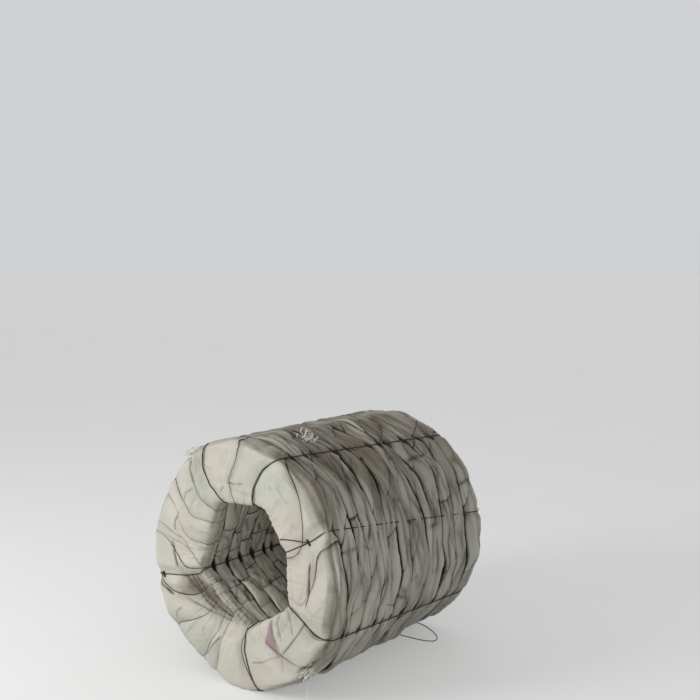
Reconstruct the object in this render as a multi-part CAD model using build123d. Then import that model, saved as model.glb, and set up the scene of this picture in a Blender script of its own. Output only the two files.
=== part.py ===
from build123d import *
import os
from collections import namedtuple
from math import atan2, copysign, cos, degrees, exp, hypot, radians, sin, sqrt

# A tied bundle of packed razor wire coils, lying on its side. Each coil is wound over with
# woven plastic strip, the coils stand side by side on one axis, and iron tie wires go
# through the bore and round the outside to hold them together.
# The coils' axis is Y and the front face looks along -Y. Z is up, the floor is z = 0, and
# the origin is on the floor below the middle of the bundle. Lengths are in millimetres.

# The wrapped coils
coil_radius = 375.0
coil_thicknesses = [61, 56, 39, 59, 67, 34, 56, 73, 50, 73, 67, 62, 73]
coil_gap = 0.3
lobe_height = 4.0
boundary_lean = 0.011
rim_share = 0.26
thickness_loss = 9.0
bore_overrun = 1.0
settled_half_angle = 8.0
outline_step = 22.0
settle_depth = 6.0

# Flattened stretches of the front coils' outline: angle, depth and how wide it spreads
front_dents = [(146.0, 22.0, 17.0), (243.0, 20.0, 15.0)]
dent_fade = 0.45

# The bore is a rounded hexagon with its corners where the tie wires pull
bore_corner_flat = 5.0

# The woven wrap and the wire coil inside it
wrap_wall = 1.2
wrap_clearance = 0.3

# The tie wires: the angle and radius of the bore's corner that each runs along, its angle
# at the front and back rims, and where its knot is: the run, counted from the front face
# outwards and on round the loop, and the share of that run
Tie = namedtuple("Tie", "bore corner front back knot_at")
tie_wires = {
    "tie_wire_right": Tie(20.0, 191.0, 26.0, 10.0, 0.59),
    "tie_wire_upper_right": Tie(62.0, 202.0, 65.0, 55.0, 2.61),
    "tie_wire_upper_left": Tie(113.0, 190.0, 113.0, 106.0, 4.35),
    "tie_wire_left": Tie(196.0, 167.0, 195.0, 190.0, 0.85),
    "tie_wire_under": Tie(282.0, 181.0, 282.0, 284.0, 4.60),
    "tie_wire_lower_right": Tie(335.0, 200.0, 337.0, 324.0, 4.45),
}
tie_diameter = 3.0
tie_bite = 3.0
tie_seat_gap = 0.3

# The twisted knot of each tie
knot_length = 26.0
knot_turns = 1.5
knot_steps = 6

# The spare loop of the lower wire, lying on the floor. Each corner is given by how far it
# lies out from the wire's run and how far behind the middle of the bundle
loop_corners = [(22.0, 234.0), (178.0, 243.0), (172.0, 300.0), (70.0, 362.0), (18.0, 360.0)]
loop_bends = [12.0, 22.0, 40.0, 50.0, 12.0]
loop_lead = 14.0

# Sizes that follow from these
bundle_length = sum(coil_thicknesses)
axis_height = coil_radius - settle_depth
tie_radius = tie_diameter / 2
seat_radius = coil_radius - tie_bite
strand_offset = tie_seat_gap + tie_radius


def coil_start(index):
    """The place along Y where a coil starts, counted from the front."""
    return -bundle_length / 2 + sum(coil_thicknesses[:index])


def boundary_lean_at(index):
    """How the plane between two coils leans: slopes along X and Z. The end faces don't."""
    if index in (0, len(coil_thicknesses)):
        return 0.0, 0.0
    return boundary_lean * sin(1.9 * index), boundary_lean * cos(2.7 * index)


def polar_point(angle, radius):
    """A point of an outline in the XZ plane, given round the coils' axis."""
    return (radius * cos(radians(angle)), radius * sin(radians(angle)))


def tie_seat(tie, along):
    """The angle and radius of the coils' outside under a tie, which is pulled straight from
    the front rim to the back rim and so bites deeper half way."""
    share = along / bundle_length + 0.5
    front_x, front_z = polar_point(tie.front, seat_radius)
    back_x, back_z = polar_point(tie.back, seat_radius)
    x = front_x + (back_x - front_x) * share
    z = front_z + (back_z - front_z) * share
    return degrees(atan2(z, x)) % 360, hypot(x, z)


def seats(index):
    """The angle and radius of one coil's outside at each tie."""
    middle = coil_start(index) + coil_thicknesses[index] / 2
    return [tie_seat(tie, middle) for tie in tie_wires.values()]


def outline_angles(index):
    """Corners of one coil's outline: at each tie, at the settled underside, and between."""
    settled = [270 - settled_half_angle, 270 + settled_half_angle]
    fixed = sorted([angle for angle, _ in seats(index)] + settled)
    angles = []
    for here, there in zip(fixed, fixed[1:] + [fixed[0] + 360]):
        steps = max(1, round((there - here) / outline_step))
        angles += [here + (there - here) * step / steps for step in range(steps)]
    return angles


def outer_radius(angle, index):
    """The outer radius of one coil: a seat at each tie, full below, gently lobed elsewhere."""
    if abs(angle - 270) <= settled_half_angle + 0.01:
        return coil_radius
    for seat_angle, radius in seats(index):
        if abs(angle - seat_angle) < 0.01:
            return radius
    turn = radians(angle)
    lobes = sin(2 * turn + 1.3 * index) + 0.6 * sin(3 * turn + 2.1 * index + 0.5)
    dents = sum(
        depth * dent_fade**index * exp(-(((angle - middle) / spread) ** 2))
        for middle, depth, spread in front_dents
    )
    return coil_radius + lobe_height * lobes - dents


def on_boundary(point, index, back):
    """A point of an outline, set on the leaning plane in front of a coil, moved back."""
    x, z = point
    lean_x, lean_z = boundary_lean_at(index)
    return (x, coil_start(index) + back + lean_x * x + lean_z * z, axis_height + z)


def outer_outline(index, inset):
    """The outline of one coil, drawn in from its outside by inset."""
    points = []
    for angle in outline_angles(index):
        points.append(polar_point(angle, outer_radius(angle, index) - inset))
    return points


def bore_outline(inset):
    """The bore's outline, moved out into the coil by inset: two points at each corner."""
    points = []
    for tie in sorted(tie_wires.values()):
        for side in (-1, 1):
            points.append(polar_point(tie.bore + side * bore_corner_flat, tie.corner + inset))
    return points


def rim_size(index):
    """How far the rims of one coil are drawn in."""
    return rim_share * (coil_thicknesses[index] - thickness_loss)


def section(points, index, back):
    """A flat face of an outline on one of the leaning planes."""
    return make_face(Polyline(*[on_boundary(p, index, back) for p in points], close=True))


def ring(index, inset):
    """One coil's body with its bore: both rims are drawn in, and the floor flattens it."""
    last = index == len(coil_thicknesses) - 1
    front = coil_gap / 2 * (index > 0) + inset
    back = -coil_gap / 2 * (not last) - inset
    rim = rim_size(index) - (2 - sqrt(2)) * inset
    over = rim + bore_overrun
    body = [
        section(outer_outline(index, inset + rim), index, front),
        section(outer_outline(index, inset), index, front + rim),
        section(outer_outline(index, inset), index + 1, back - rim),
        section(outer_outline(index, inset + rim), index + 1, back),
    ]
    bore = [
        section(bore_outline(inset + over), index, front - bore_overrun),
        section(bore_outline(inset), index, front + rim),
        section(bore_outline(inset), index + 1, back - rim),
        section(bore_outline(inset + over), index + 1, back + bore_overrun),
    ]
    blank = loft(body, ruled=True) - loft(bore, ruled=True)
    return split(blank, Plane.XY.offset(inset), keep=Keep.TOP)


def place_at(angle, radius, along):
    """A point given by its angle round the axis, its radius and its place along Y."""
    x, z = polar_point(angle, radius)
    return Vector(x, along, axis_height + z)


def outwards_at(tie, place):
    """The way out of the bundle where a tie lies on a face or on the outside."""
    if abs(place.Y) > bundle_length / 2:
        return Vector(0, copysign(1, place.Y), 0)
    angle, _ = tie_seat(tie, place.Y)
    return Vector(*polar_point(angle, 1), 0).rotate(Axis.X, 90)


def wire(path):
    """Tie wire along a path, with a six-sided section."""
    start = Plane(origin=path @ 0, z_dir=path % 0)
    return sweep(start * RegularPolygon(tie_radius, 6), path=path, transition=Transition.RIGHT)


def knot(middle, way, outwards):
    """The twisted ends of a tie: two strands wound round each other, standing across it."""
    place = Plane(origin=middle + outwards * tie_radius, x_dir=way, z_dir=way.cross(outwards))
    strands = []
    for first_angle in (0, 180):
        points = []
        for step in range(knot_steps + 1):
            share = step / knot_steps
            x, y = polar_point(first_angle + 360 * knot_turns * share, tie_radius)
            points.append((x, y, (share - 0.5) * knot_length))
        strands.append(place * wire(Polyline(*points)))
    return strands[0] + strands[1]


def tie_corners(tie):
    """The corners of a tie's loop, which bends twice at each rim to lie along its slope."""
    out = seat_radius + strand_offset
    inside = tie.corner * cos(radians(bore_corner_flat)) - strand_offset
    end = bundle_length / 2 + strand_offset
    slack = strand_offset * (2 - sqrt(2))
    first, last = rim_size(0) + slack, rim_size(len(coil_thicknesses) - 1) + slack
    return [
        place_at(tie.bore, inside + first, -end),
        place_at(tie.front, out - first, -end),
        place_at(tie.front, out, -end + first),
        place_at(tie.back, out, end - last),
        place_at(tie.back, out - last, end),
        place_at(tie.bore, inside + last, end),
        place_at(tie.bore, inside, end - last),
        place_at(tie.bore, inside, -end + first),
    ]


def tie_loop(tie):
    """A tie wire from its knot round the whole loop and back to the knot."""
    corners = tie_corners(tie)
    run = int(tie.knot_at)
    step = corners[(run + 1) % len(corners)] - corners[run]
    middle = corners[run] + step * (tie.knot_at - run)
    way = step.normalized()
    gap = way * tie_radius
    path = Polyline(middle + gap, *corners[run + 1 :], *corners[: run + 1], middle - gap)
    return wire(path) + knot(middle, way, outwards_at(tie, middle))


def spare_loop(tie):
    """The slack of the lower wire, drawn out sideways into a flat loop on the floor."""
    ends = []
    for along in (loop_corners[0][1] - loop_lead, loop_corners[-1][1] + loop_lead):
        angle, radius = tie_seat(tie, along)
        ends.append(place_at(angle, radius + strand_offset, along))
    start, finish = ends
    corners = [(start.X + reach, along, tie_radius) for reach, along in loop_corners]
    return wire(FilletPolyline(start, *corners, finish, radius=loop_bends))


os.makedirs("parts", exist_ok=True)
for index in range(len(coil_thicknesses)):
    skin = ring(index, 0) - ring(index, wrap_wall)
    core = ring(index, wrap_wall + wrap_clearance)
    export_step(skin, f"parts/wrap_{index + 1:02d}.step")
    export_step(core, f"parts/coil_{index + 1:02d}.step")
for name, tie in tie_wires.items():
    bent = tie_loop(tie)
    if name == "tie_wire_under":
        bent += spare_loop(tie)
    export_step(bent, f"parts/{name}.step")
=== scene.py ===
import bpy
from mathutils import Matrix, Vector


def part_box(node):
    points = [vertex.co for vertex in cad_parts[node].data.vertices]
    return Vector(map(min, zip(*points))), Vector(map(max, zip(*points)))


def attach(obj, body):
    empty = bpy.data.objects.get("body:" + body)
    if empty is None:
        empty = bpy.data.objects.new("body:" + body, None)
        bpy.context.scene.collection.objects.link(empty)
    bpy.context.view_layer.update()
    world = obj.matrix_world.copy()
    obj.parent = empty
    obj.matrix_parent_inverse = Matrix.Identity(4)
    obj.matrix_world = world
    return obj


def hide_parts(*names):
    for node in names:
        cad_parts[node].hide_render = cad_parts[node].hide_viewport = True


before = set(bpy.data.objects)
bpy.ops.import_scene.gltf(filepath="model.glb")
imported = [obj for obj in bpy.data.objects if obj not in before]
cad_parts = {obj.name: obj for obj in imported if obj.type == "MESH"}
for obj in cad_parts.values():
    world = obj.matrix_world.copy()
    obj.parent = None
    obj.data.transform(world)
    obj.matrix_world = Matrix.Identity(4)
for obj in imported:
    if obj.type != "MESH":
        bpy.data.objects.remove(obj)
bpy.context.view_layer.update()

from collections import namedtuple
from itertools import product
from math import cos, pi, radians, sin
from types import SimpleNamespace

import bpy
import numpy as np
from bpy.props import FloatProperty, FloatVectorProperty, PointerProperty
from mathutils import Vector
from mathutils.bvhtree import BVHTree

bl_info = {
    "name": "Wrapped Wire Coil Bundle",
    "version": (1, 0, 0),
    "blender": (4, 5, 0),
    "location": "View3D > Sidebar > Bundle",
    "description": "Winds woven strip round a bundle of wire coils, ties it and lights it",
    "category": "Object",
}

# Places that repeat the frame's own values, in metres
axis_height = 0.369
half_length = 0.385
coil_radius = 0.375
seat_radius = 0.372
last_coil = 13
wrap_names = [f"wrap_{number:02d}" for number in range(1, last_coil + 1)]

# The tie wires, in metres
wire_radius = 0.0015
wire_gap = 0.0018
loop_lead = 0.014
knot_length = 0.018
knot_turns = 3
knot_steps = 30
strand_gap = 0.007
floor_gap = 0.0006

# The strip lies this far below the coil's surface at a tie, and rises away from it
tie_bite, tie_slope, tie_curve = 0.0004, 0.10, 9.0

# Each tie: its angle in the bore, on the front face at the four marks of the laps below, at
# the front and the back rim, and where its knot is: on which side, and how far along it
TieRoute = namedtuple("TieRoute", "bore face front back side share")
tie_routes = {
    "tie_wire_right": TieRoute(20, (22, 23, 24, 26), 26, 10, "front", 0.60),
    "tie_wire_upper_right": TieRoute(62, (72.5, 74.4, 71.3, 65), 65, 55, "outside", 0.61),
    "tie_wire_upper_left": TieRoute(113, (110, 117, 118, 113), 113, 106, "back", 0.35),
    "tie_wire_left": TieRoute(196, (199, 198, 196, 195), 195, 190, "front", 0.88),
    "tie_wire_under": TieRoute(282, (279, 275, 278, 282), 282, 284, "back", 0.60),
    "tie_wire_lower_right": TieRoute(335, (339, 337, 335, 337), 337, 324, "back", 0.45),
}
# How deep the right tie lies under the strip of one coil or another
buried = (0.010, 0.004, 0.009, 0.0, 0.008)

# The second strand of the right tie over the front face: place along the section and angle
second_strand_marks = [
    (0.26, 25), (0.20, 27.5), (0.14, 30.5), (0.10, 32.5), (0.07, 33.5), (0.04, 34), (0.0, 34),
]

# The corners of the slack loop on the floor: how far out from the tie, and the place along Y
floor_loop = [(0.022, 0.234), (0.178, 0.243), (0.172, 0.300), (0.070, 0.362), (0.018, 0.360)]

# Loose strands of the upper right tie over the top: place along Y, angle and radius
top_strands = [
    [(0.060, 60.3, 0.371), (0.068, 61, 0.3745), (0.10, 64.5, 0.3765), (0.14, 69.5, 0.3755),
     (0.168, 73, 0.3725), (0.176, 74, 0.366)],
    [(0.225, 58.6, 0.371), (0.262, 61.5, 0.3755), (0.31, 66, 0.3765), (0.345, 69.5, 0.374),
     (0.360, 71, 0.366)],
]

# Frayed ends of the strip: angle, radius and place along Y, how many tapes, how long they
# are and how far their roots are spread
frays = [
    (74.5, 0.371, -0.190, 84, 0.034, 0.012),
    (123, 0.363, -0.366, 56, 0.034, 0.007),
    (-43.5, 0.362, -0.384, 76, 0.030, 0.006),
    (250, 0.360, 0.384, 10, 0.034, 0.006),
]
hanging_tape = (-43.5, 0.368, -0.391)
hanging_tape_foot = (0.272, -0.392, 0.018)
tape_width = 0.0027
tape_steps = 9
hanging_steps = 12

# The laps of the front coil's strip, one row for each turn: the angle of its edge in
# degrees at the bore, a third and two thirds of the way out, and at the rim
front_laps = [
    (-100, -105, -106, -105),
    (-82, -87, -83, -78),
    (-62, -58, -50, -40),
    (-20, -22, -26, -22),
    (-14, -13, 14, 20),
    (18, 21, 36, 61),
    (74, 75, 72, 65),
    (96, 97, 93, 90),
    (104, 118, 117, 112),
    (124, 130, 127, 123),
    (137, 148, 145, 141),
    (166, 167, 154, 151),
    (195, 191, 176, 174),
    (215, 214, 208, 196),
    (233, 232, 226, 223),
    (251, 250, 247, 245),
]
turns_elsewhere = 10

# Where along its section a strip crosses those four marks: 0 is the middle of the bore, a
# quarter the front face, a half the rim and three quarters the back
face_marks = (0.06, 0.20, 0.33, 0.46)

# Fold lines, each with how deep it is: on the front face in millimetres to the right of the
# coils' axis and above it, and on the right side in millimetres along the axis and degrees
face_folds = [
    (0.5, [(-189, 298), (-195, 263), (-175, 214)]),
    (0.4, [(-220, 162), (-206, 186), (-175, 207)]),
    (0.5, [(-234, 130), (-256, 95), (-262, 60)]),
    (1.0, [(-284, 25), (-276, -17), (-258, -59)]),
    (0.4, [(-38, 242), (-14, 243), (28, 248)]),
    (0.4, [(-49, 232), (-64, 210)]),
    (1.0, [(284, 67), (276, -3), (265, -67)]),
    (0.6, [(259, -108), (238, -150), (203, -192), (169, -230)]),
    (0.9, [(335, -150), (301, -199), (252, -241), (231, -262)]),
    (0.5, [(-63, -227), (-105, -262), (-140, -304)]),
    (1.0, [(-368, -95), (-322, -122), (-274, -144)]),
    (0.4, [(-237, -172), (-256, -192), (-265, -216)]),
    (0.3, [(-154, -185), (-203, -241), (-228, -269)]),
    (0.5, [(188, -86), (206, -129), (217, -160)]),
    (0.5, [(162, -104), (158, -136), (176, -188)]),
    (0.5, [(133, -122), (140, -164), (167, -227)]),
    (0.4, [(175, -227), (112, -258), (56, -276)]),
    (0.3, [(172, -227), (182, -276)]),
    (0.4, [(130, 256), (140, 246)]),
    (0.3, [(154, 266), (189, 228), (214, 218)]),
    (0.5, [(-354, 81), (-287, 60), (-238, 39), (-182, -17), (-155, -45)]),
    (0.4, [(-315, 39), (-210, 11), (-162, -37)]),
    (1.0, [(248, 282), (263, 285)]),
    (1.0, [(-189, -59), (-140, -108), (-91, -143), (0, -172)]),
    (0.6, [(-238, -143), (-175, -154), (-105, -164), (0, -178)]),
    (0.6, [(-245, -73), (-189, -101), (-112, -129)]),
    (1.0, [(-232, -68), (-196, -98), (-140, -136), (-88, -160)]),
    (0.8, [(-205, -62), (-172, -100), (-128, -128)]),
    (0.9, [(-140, -70), (-100, -108), (-50, -140), (-6, -172)]),
]
side_folds = [
    (0.9, [(-142, 56), (-170, 48), (-181, 36), (-209, 21), (-226, 14)]),
    (0.7, [(-355, 47), (-318, 47)]),
    (0.9, [(-332, 15), (-271, 15)]),
    (1.0, [(-273, 15), (-271, 6)]),
    (0.6, [(-271, 7), (-257, -1), (-240, -13)]),
    (0.6, [(-254, 16), (-231, 13), (-220, 12)]),
    (1.0, [(-24, 18), (7, 16)]),
    (0.8, [(71, 12), (138, 12)]),
    (1.0, [(102, 45), (155, 46), (217, 47)]),
    (1.0, [(306, 26), (340, 27), (373, 27)]),
    (0.6, [(312, 11), (345, 10), (387, 7)]),
    (0.8, [(-80, -15), (-47, -17)]),
    (0.8, [(-69, -10), (-35, -18), (-13, -23)]),
    (0.8, [(-35, -12), (-5, -7)]),
    (0.6, [(219, -7), (261, -8)]),
    (0.9, [(85, 55), (102, 44), (121, 20), (138, 12)]),
    (0.5, [(9, 49), (37, 49)]),
    (0.5, [(-58, 30), (-24, 28)]),
    (0.7, [(-380, 23), (-383, 8), (-393, -1), (-380, -18)]),
    (0.5, [(180, 21), (197, 35), (217, 39)]),
    (0.5, [(-304, 84), (-306, 67)]),
    (0.6, [(65, 61), (116, 66), (172, 74)]),
]

# How far the line between each two coils strays along the axis on the right side, in
# millimetres, at these angles
stray_angles = (-28, -18, -8, 2, 12, 18, 26, 34, 43, 52, 62, 80)
strays = [
    (15, 2, -11, -22, -24, -17, -30, -17, 2, 3, 3, 20),
    (-20, -32, -36, -14, -5, -4, -3, 2, 6, 2, -3, 14),
    (-8, -11, -7, 0, 8, -3, -5, -1, 3, -2, -9, 0),
    (14, 9, 3, 2, 4, 3, 4, 6, 4, 18, 24, 0),
    (-10, -20, -26, -27, -26, -27, -16, 0, 12, 16, 9, 15),
    (0, -4, -5, -3, -4, -2, 1, -6, -9, -5, -2, -4),
    (3, -8, -22, -20, -12, -9, -6, 0, 12, 22, 20, 7),
    (12, 10, 3, 17, 12, 12, 8, 1, -4, -10, 4, 11),
    (-8, -18, -16, -8, -8, -8, -3, -2, -9, -24, -20, -15),
    (0, -7, -16, -34, -28, -20, -8, 6, 14, 2, 0, -6),
    (6, -16, -30, -38, -36, -22, -13, -12, -8, 11, -8, -11),
    (10, 5, -10, -25, -31, -20, -11, -6, -3, 6, 0, 0),
]

# A mauve tape end and a stained hollow on the front face, in millimetres like its folds
mauve_patch = [(130, -129), (108, -206), (161, -231)]
stained_patch = [(-154, -52), (-245, -62), (-252, -143), (-126, -164), (0, -176)]

# Short folds scattered over a part of a coil: how many, the least and the most of their
# place along the section, of their lean in degrees and of half their length
rim_folds = (34, 0.425, 0.575, 76, 90, 0.03, 0.14)
bore_folds = (34, -0.05, 0.05, 70, 90, 0.02, 0.07)
front_folds = (56, 0.10, 0.40, 0, 50, 0.010, 0.045)
back_folds = (60, 0.60, 0.90, 0, 35, 0.02, 0.07)

# The strip's lengths in metres: one turn round a section, and the arc and the section by
# which the scattered folds are placed
turn_length = 0.49
fold_arc = 0.30
section_length = 0.50

# The strip's relief, in metres
face_dents = 0.0075
pleat_depth = 0.0044
grain_depth = 0.0006
fold_rise = 0.0028
fold_cut = 0.0062
strip_sink = 0.002
shoulder_rise = 0.0045
side_sink = 0.0025
groove_depth = 0.0055
rim_slope = 0.011
hollow_depth = 0.009
hidden_sink = 0.003
hidden_sink_in_bore = 0.008
uneven_bore = 0.009
uneven_rim = 0.0055
fold_wander = 0.004

# Widths of folds, in metres: the crease, and the bulge along it
crease_width = 0.0030
face_crease_width = 0.0026
bulge_width = 0.0110
face_bulge_width = 0.0120

# Places across the part of a strip that the next turn hides, and how much that part is
# gathered in the bore
hidden_places = np.array([0.12, 0.38, 0.68, 1.0])
most_gathered = 0.85

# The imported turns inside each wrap, in metres
core_radii = (0.222, 0.330)
core_inset = 0.016
core_corners = 30
core_steps = 44

# How each coil's surface is read from the frame: by how many angles round the axis and steps
# of its section, and by rays that look inwards from outside the section, ray_reach from its
# middle, which is ray_centre from the axis
base_angles = 144
base_steps = 96
rays = 72
ray_centre = 0.26
ray_reach = 0.16

# Each noise has its own seed
seeds = {
    "stray": 21, "shared stray": 22, "uneven rim": 23, "fine stray": 24, "uneven bore": 25,
    "face dents": 30, "puff": 31, "wrinkles": 33, "pleats": 34, "grain": 35, "bend x": 36,
    "bend y": 37, "fold strength": 38, "dust_and_shade": 41, "lap dirt": 42, "halo": 43,
    "dusty pleats": 44, "stain": 45, "lap kinks": 51,
}
fold_seed, tone_seed, dust_seed, lap_seed, fray_seed = 300, 500, 700, 100, 77

# Colours of the strip's cooler and warmer parts, of the mauve tape and of the frayed tapes
cool_strip = (0.52, 0.525, 0.452, 1)
warm_strip = (0.61, 0.562, 0.488, 1)
mauve_tape = (0.35, 0.235, 0.25, 1)
clean_tape = (0.90, 0.89, 0.84, 1)
dull_tape = (0.72, 0.70, 0.63, 1)
zinc = (0.42, 0.43, 0.44)
weave_pitch = 0.0024

# The camera that fits the photo, and the lamps: name, place, size and power
camera_place = (1.9385, -2.3193, 1.2462)
camera_pitch, camera_heading = 0.0894, 0.667
focal_length, photo_width, sensor_width = 953.2, 700, 36
lamp_aim = (0, 0, 0.35)
lamps = [("key", (-1.8, -3.5, 2.0), 1.8, 89), ("fill", (2.7, -3.3, 1.6), 2.5, 21)]


def length_property(name, description, default, least, most):
    return FloatProperty(
        name=name, description=description, default=default, min=least, max=most, unit="LENGTH",
    )


def colour_property(name, description, default):
    return FloatVectorProperty(
        name=name, description=description, subtype="COLOR", size=3, default=default, min=0, max=1,
    )


class BundleSizes(bpy.types.PropertyGroup):
    """Sizes of the wound strip, and how far the lines between the coils wander."""

    strip_width: length_property("Strip width", "Width of the woven strip", 0.36, 0.34, 0.5)
    lap_height: length_property(
        "Lap height", "How far a lap's edge stands off the turn below it", 0.0050, 0.001, 0.02,
    )
    puff: length_property("Puff", "How far the strip bulges between two laps", 0.0056, 0, 0.02)
    wrinkle: length_property(
        "Wrinkle depth", "Depth of the pulled wrinkles at the bore", 0.0024, 0, 0.01,
    )
    wander: length_property("Wander", "How far the line between two coils wanders", 0.010, 0, 0.02)


class BundleColours(bpy.types.PropertyGroup):
    """Colours of the bundle and of the floor."""

    strip: colour_property("Strip", "Clean woven strip", (0.575, 0.555, 0.472))
    # This grey-brown also paints shade on the sides, the top and in the pleat valleys.
    dust_and_shade: colour_property("Dust", "Grey-brown dust on the strip", (0.212, 0.185, 0.140))
    # This brown also paints the top's shade.
    brown: colour_property("Brown dust", "Brown dust where it lies thick", (0.115, 0.078, 0.036))
    # This near-black paints shade in creases, under laps and between coils, with some soiling.
    crease_shade_and_soil: colour_property("Soil", "Dark dirt in the creases", (0.022, 0.016, 0.011))
    wire: colour_property("Wire", "Dark iron tie wire", (0.045, 0.036, 0.030))
    floor: colour_property("Floor", "Pale floor", (0.62, 0.62, 0.61))


def lattice(cells, seed):
    """A steady number from 0 to 63 for each whole-number cell."""
    mixed = cells[..., 0] * 73856093 ^ cells[..., 1] * 19349663 ^ cells[..., 2] * 83492791
    mixed = (mixed + seed * 668265263) & 0x7FFFFFFF
    mixed = ((mixed ^ (mixed >> 13)) * 1274126177) & 0x7FFFFFFF
    return (mixed ^ (mixed >> 15)) & 63


gradients = np.random.default_rng(11).normal(size=(64, 3))
gradients /= np.linalg.norm(gradients, axis=1)[:, None]


def noise(points, name):
    """Smooth noise of about -1 to 1 over points in space."""
    points = np.asarray(points, float)
    cell = np.floor(points).astype(np.int64)
    part = points - cell
    ease = part**3 * (part * (part * 6 - 15) + 10)
    total = np.zeros(points.shape[:-1])
    for corner in product((0, 1), repeat=3):
        corner = np.array(corner)
        weight = np.prod(np.where(corner == 1, ease, 1 - ease), axis=-1)
        slope = gradients[lattice(cell + corner, seeds[name])]
        total += weight * np.sum(slope * (part - corner), axis=-1)
    return 1.6 * total


def valleys(points, name):
    """Noise with sharp valleys, for creased cloth: 0 in a valley and up to about 1."""
    return np.minimum(np.abs(noise(points, name)) * 1.6, 1.2)


def smooth_step(low, high, value):
    share = np.clip((value - low) / (high - low), 0, 1)
    return share * share * (3 - 2 * share)


def soft_minimum(first, second, width):
    return 0.5 * (first + second - np.sqrt((first - second) ** 2 + width**2))


def blur(grid, axis, width):
    """Circular Gaussian smoothing of a grid along one axis, width in samples."""
    count = grid.shape[axis]
    steps = np.fft.fftfreq(count)
    kernel = np.exp(-2 * (pi * steps * width) ** 2)
    shape = [1] * grid.ndim
    shape[axis] = count
    return np.real(np.fft.ifft(np.fft.fft(grid, axis=axis) * kernel.reshape(shape), axis=axis))


def signed_angle(angle):
    """An angle in degrees from -180 to 180."""
    return np.mod(angle + 180, 360) - 180


def round_place(turned, size, third):
    """Places in space for a noise that goes round with a coil; turned is in radians."""
    return np.stack([np.cos(turned) * size, np.sin(turned) * size, third + 0 * turned], -1)


def polar(angle, radius, along):
    """A point from its angle round the coils' axis, its radius and its place along Y."""
    turn = radians(angle)
    return Vector((cos(turn) * radius, along, sin(turn) * radius + axis_height))


def coil_surface(name):
    """The outside of one coil as radius and place along Y, over the angle and the section."""
    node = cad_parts[name]
    tree = BVHTree.FromObject(node, bpy.context.evaluated_depsgraph_get())
    low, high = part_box(name)
    middle_y = (low.y + high.y) / 2
    sweep = np.linspace(0, 2 * pi, rays, endpoint=False)
    radius = np.zeros((base_angles, base_steps))
    along = np.zeros((base_angles, base_steps))
    for row in range(base_angles):
        turn = 2 * pi * row / base_angles
        out = Vector((cos(turn), 0, sin(turn)))
        centre = Vector((0, middle_y, axis_height)) + out * ray_centre
        hits = []
        for angle in sweep:
            aim = -cos(angle) * out - Vector((0, sin(angle), 0))
            hit = tree.ray_cast(centre + aim * ray_reach, -aim)[0]
            if hit is None:
                raise RuntimeError(f"{name} has no outside at {turn:.2f}")
            hits.append((hit.dot(out) - axis_height * out.z, hit.y))
        loop = np.array(hits + hits[:1])
        length = np.concatenate([[0], np.cumsum(np.linalg.norm(np.diff(loop, axis=0), axis=1))])
        wanted = np.linspace(0, length[-1], base_steps, endpoint=False)
        radius[row] = np.interp(wanted, length, loop[:, 0])
        along[row] = np.interp(wanted, length, loop[:, 1])
    for grid in (radius, along):
        grid[:] = blur(blur(grid, 1, 1.1), 0, 0.9)
    return radius, along


surfaces = {}


def sample(grid, angle, step):
    """Reads a grid over angle in degrees and section from 0 to 1, both going round."""
    row = np.mod(angle / 360, 1) * base_angles
    column = np.mod(step, 1) * base_steps
    i, j = np.floor(row).astype(int), np.floor(column).astype(int)
    a, b = row - i, column - j
    i, j = i % base_angles, j % base_steps
    i2, j2 = (i + 1) % base_angles, (j + 1) % base_steps
    near = grid[i, j] * (1 - b) + grid[i, j2] * b
    far = grid[i2, j] * (1 - b) + grid[i2, j2] * b
    return near * (1 - a) + far * a


def read_round(values, angle):
    """Reads one value for each angle of a coil, going round."""
    row = np.mod(angle / 360, 1) * base_angles
    return np.interp(row, np.arange(base_angles + 1), np.append(values, values[0]))


def outward(radius_grid, along_grid):
    """The way out of a coil's surface, along the radius and along Y."""
    slope_r = np.roll(radius_grid, -1, 1) - np.roll(radius_grid, 1, 1)
    slope_y = np.roll(along_grid, -1, 1) - np.roll(along_grid, 1, 1)
    size = np.hypot(slope_r, slope_y)
    return slope_y / size, -slope_r / size


def lap_marks(number):
    """The route of a coil's lap edge as marks of turn and angle, from one turn to the next."""
    if number == 1:
        marks = []
        for turn, row in enumerate(front_laps):
            marks += [(turn + mark, angle) for mark, angle in zip(face_marks, row)]
            later = front_laps[(turn + 1) % len(front_laps)][0]
            following = later + 360 * (turn + 1 == len(front_laps))
            marks.append((turn + 0.75, (row[3] + following) / 2))
            marks.append((turn + 0.95, following - 1))
        return marks, len(front_laps)
    chance = np.random.default_rng(lap_seed + number)
    spacing = 360 / turns_elsewhere
    start = chance.uniform(0, spacing)
    lean = chance.uniform(0.1, 0.42)
    section = (0.0, 0.25, 0.41, 0.59, 0.75)
    advance = (0.0, 0.25 * (1 - lean), 0.5 - lean, 0.5 + lean, 1 - 0.25 * (1 - lean))
    marks = []
    for turn in range(turns_elsewhere):
        jitter = chance.uniform(-0.2, 0.2, 5) * (1, 1, 0.7, 0.7, 1)
        for where, share, change in zip(section, advance, jitter):
            marks.append((turn + where, start + (turn + share + change) * spacing))
    return marks, turns_elsewhere


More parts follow.
